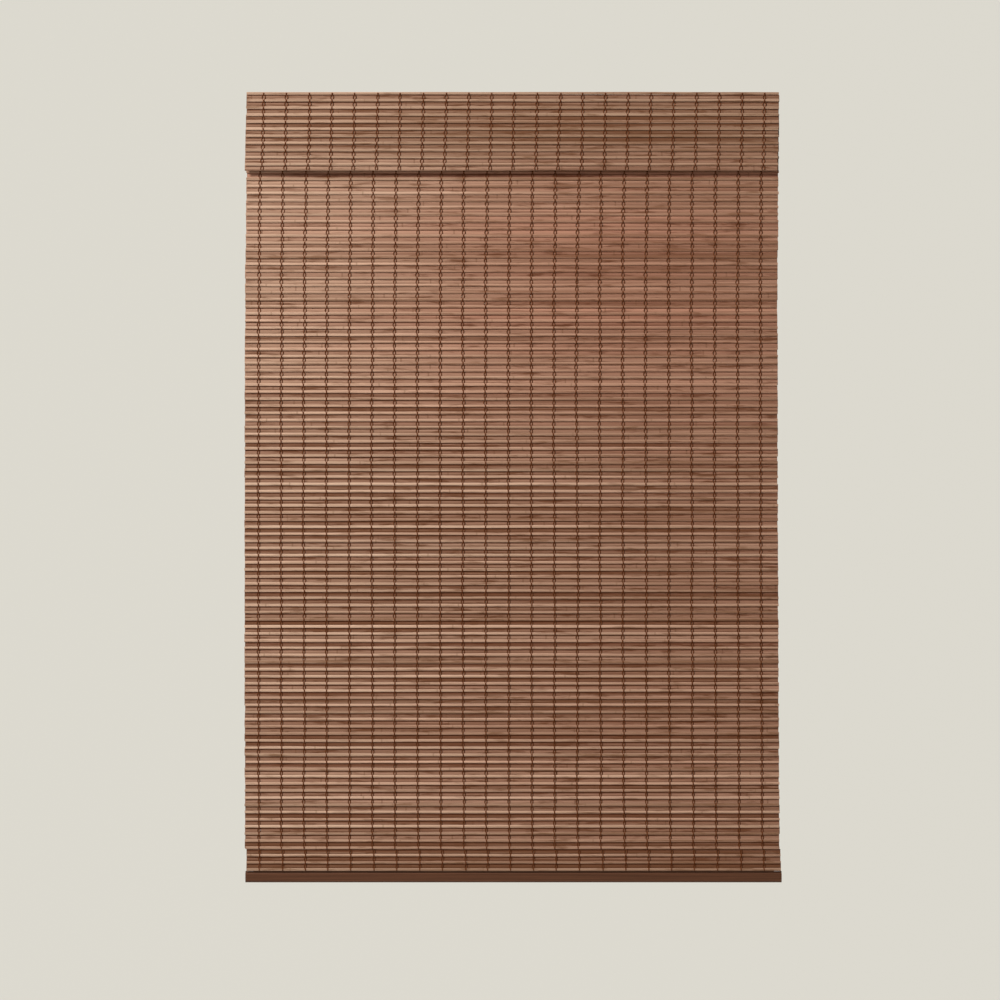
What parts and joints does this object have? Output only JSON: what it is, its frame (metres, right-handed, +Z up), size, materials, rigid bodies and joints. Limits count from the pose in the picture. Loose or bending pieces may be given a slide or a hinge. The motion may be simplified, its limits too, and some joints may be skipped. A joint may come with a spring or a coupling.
{
  "type": "bamboo roman shade",
  "caption": "Woven bamboo roman shade with a valance and a dark bottom rail, raised into flat folds by a spring lift and cords hidden behind its headrail.",
  "frame": {"origin": "centre of the brackets' four top screws, on the plane that the brackets are screwed to", "axes": "+Z up, +X to the right as seen from the room, and the front of the shade faces -Y"},
  "size_m": [0.918, 0.0577, 1.355],
  "materials": {
    "painted_steel": "satin",
    "zinc_steel": "satin",
    "bamboo_valance": "matte",
    "bamboo_mat": "matte",
    "bamboo_hem": "matte",
    "painted_wood": "satin",
    "hook_and_loop": "matte",
    "braided_cord": "matte",
    "pale_plastic": "matte"
  },
  "bodies": {
    "headrail_assembly": {"headrail": "painted_steel", "headrail_cap_left": "pale_plastic", "headrail_cap_right": "pale_plastic", "bracket_left": "zinc_steel", "bracket_right": "zinc_steel", "spool_cradle_left": "pale_plastic", "spool_cradle_centre": "pale_plastic", "spool_cradle_right": "pale_plastic", "cord_guides": "pale_plastic", "motor_housing": "pale_plastic", "motor_cover": "pale_plastic", "motor_screws": "zinc_steel", "lift_spring": "zinc_steel", "mat_tape": "hook_and_loop", "valance_tape": "hook_and_loop", "valance": "bamboo_valance", "mat_upper": "bamboo_mat", "ring_row_01": "pale_plastic", "lift_cord_left": "braided_cord", "lift_cord_centre": "braided_cord", "lift_cord_right": "braided_cord"},
    "fold_01": {"mat_fold_01": "bamboo_mat"},
    "fold_02": {"mat_fold_02": "bamboo_mat"},
    "fold_03": {"mat_fold_03": "bamboo_mat"},
    "fold_04": {"mat_fold_04": "bamboo_mat"},
    "fold_05": {"mat_fold_05": "bamboo_mat"},
    "fold_06": {"mat_fold_06": "bamboo_mat"},
    "fold_07": {"mat_fold_07": "bamboo_mat"},
    "fold_08": {"mat_fold_08": "bamboo_mat"},
    "fold_09": {"mat_fold_09": "bamboo_mat"},
    "fold_10": {"mat_fold_10": "bamboo_mat"},
    "bottom_assembly": {"mat_lower": "bamboo_mat", "hem_facing": "bamboo_hem", "bottom_rail": "painted_wood", "bottom_rail_cap_left": "painted_wood", "bottom_rail_cap_right": "painted_wood", "cord_anchors": "pale_plastic", "cord_knots": "braided_cord"},
    "ring_row_02": {"ring_row_02": "pale_plastic"},
    "ring_row_03": {"ring_row_03": "pale_plastic"},
    "ring_row_04": {"ring_row_04": "pale_plastic"},
    "ring_row_05": {"ring_row_05": "pale_plastic"},
    "lift_shaft_assembly": {"lift_shaft": "zinc_steel", "cord_spool_left": "pale_plastic", "cord_spool_centre": "pale_plastic", "cord_spool_right": "pale_plastic", "output_drum": "pale_plastic"},
    "storage_drum": {"storage_drum": "pale_plastic"}
  },
  "joints": [
    {"name": "raise_fold", "type": "hinge", "parent": "headrail_assembly", "child": "fold_01", "pos_m": [0, -0.0271, -0.1516], "axis": [-1, 0, 0], "range_deg": [0, 86], "deforming": ["lift_cord_left", "lift_cord_centre", "lift_cord_right"]},
    {"name": "fold_02_hinge", "type": "hinge", "parent": "fold_01", "child": "fold_02", "pos_m": [0, -0.0231, -0.2614], "axis": [-1, 0, 0], "range_deg": [-172, 0]},
    {"name": "fold_03_hinge", "type": "hinge", "parent": "fold_02", "child": "fold_03", "pos_m": [0, -0.0271, -0.3712], "axis": [-1, 0, 0], "range_deg": [0, 172]},
    {"name": "fold_04_hinge", "type": "hinge", "parent": "fold_03", "child": "fold_04", "pos_m": [0, -0.0231, -0.481], "axis": [-1, 0, 0], "range_deg": [-172, 0]},
    {"name": "fold_05_hinge", "type": "hinge", "parent": "fold_04", "child": "fold_05", "pos_m": [0, -0.0271, -0.5908], "axis": [-1, 0, 0], "range_deg": [0, 172]},
    {"name": "fold_06_hinge", "type": "hinge", "parent": "fold_05", "child": "fold_06", "pos_m": [0, -0.0231, -0.7006], "axis": [-1, 0, 0], "range_deg": [-172, 0]},
    {"name": "fold_07_hinge", "type": "hinge", "parent": "fold_06", "child": "fold_07", "pos_m": [0, -0.0271, -0.8104], "axis": [-1, 0, 0], "range_deg": [0, 172]},
    {"name": "fold_08_hinge", "type": "hinge", "parent": "fold_07", "child": "fold_08", "pos_m": [0, -0.0231, -0.9202], "axis": [-1, 0, 0], "range_deg": [-172, 0]},
    {"name": "fold_09_hinge", "type": "hinge", "parent": "fold_08", "child": "fold_09", "pos_m": [0, -0.0271, -1.03], "axis": [-1, 0, 0], "range_deg": [0, 172]},
    {"name": "fold_10_hinge", "type": "hinge", "parent": "fold_09", "child": "fold_10", "pos_m": [0, -0.0231, -1.1398], "axis": [-1, 0, 0], "range_deg": [-172, 0]},
    {"name": "bottom_hinge", "type": "hinge", "parent": "fold_10", "child": "bottom_assembly", "pos_m": [0, -0.0271, -1.2496], "axis": [-1, 0, 0], "range_deg": [0, 86]},
    {"name": "ring_row_02_swivel", "type": "hinge", "parent": "fold_02", "child": "ring_row_02", "pos_m": [0, -0.0271, -0.3712], "axis": [-1, 0, 0], "range_deg": [0, 86]},
    {"name": "ring_row_03_swivel", "type": "hinge", "parent": "fold_04", "child": "ring_row_03", "pos_m": [0, -0.0271, -0.5908], "axis": [-1, 0, 0], "range_deg": [0, 86]},
    {"name": "ring_row_04_swivel", "type": "hinge", "parent": "fold_06", "child": "ring_row_04", "pos_m": [0, -0.0271, -0.8104], "axis": [-1, 0, 0], "range_deg": [0, 86]},
    {"name": "ring_row_05_swivel", "type": "hinge", "parent": "fold_08", "child": "ring_row_05", "pos_m": [0, -0.0271, -1.03], "axis": [-1, 0, 0], "range_deg": [0, 86]},
    {"name": "shaft_turn", "type": "hinge", "parent": "headrail_assembly", "child": "lift_shaft_assembly", "pos_m": [0, -0.007, -0.02], "axis": [-1, 0, 0], "range_deg": [0, 5624]},
    {"name": "storage_drum_turn", "type": "hinge", "parent": "headrail_assembly", "child": "storage_drum", "pos_m": [0, 0.012, -0.02], "axis": [-1, 0, 0], "range_deg": [0, 9684]}
  ],
  "couplings": [
    {"joint": "fold_02_hinge", "follows": "raise_fold", "ratio": -2},
    {"joint": "fold_03_hinge", "follows": "raise_fold", "ratio": 2},
    {"joint": "fold_04_hinge", "follows": "raise_fold", "ratio": -2},
    {"joint": "fold_05_hinge", "follows": "raise_fold", "ratio": 2},
    {"joint": "fold_06_hinge", "follows": "raise_fold", "ratio": -2},
    {"joint": "fold_07_hinge", "follows": "raise_fold", "ratio": 2},
    {"joint": "fold_08_hinge", "follows": "raise_fold", "ratio": -2},
    {"joint": "fold_09_hinge", "follows": "raise_fold", "ratio": 2},
    {"joint": "fold_10_hinge", "follows": "raise_fold", "ratio": -2},
    {"joint": "bottom_hinge", "follows": "raise_fold", "ratio": 1},
    {"joint": "ring_row_02_swivel", "follows": "raise_fold", "ratio": 1},
    {"joint": "ring_row_03_swivel", "follows": "raise_fold", "ratio": 1},
    {"joint": "ring_row_04_swivel", "follows": "raise_fold", "ratio": 1},
    {"joint": "ring_row_05_swivel", "follows": "raise_fold", "ratio": 1},
    {"joint": "shaft_turn", "follows": "raise_fold", "ratio": 65.391},
    {"joint": "storage_drum_turn", "follows": "raise_fold", "ratio": 112.6}
  ]
}
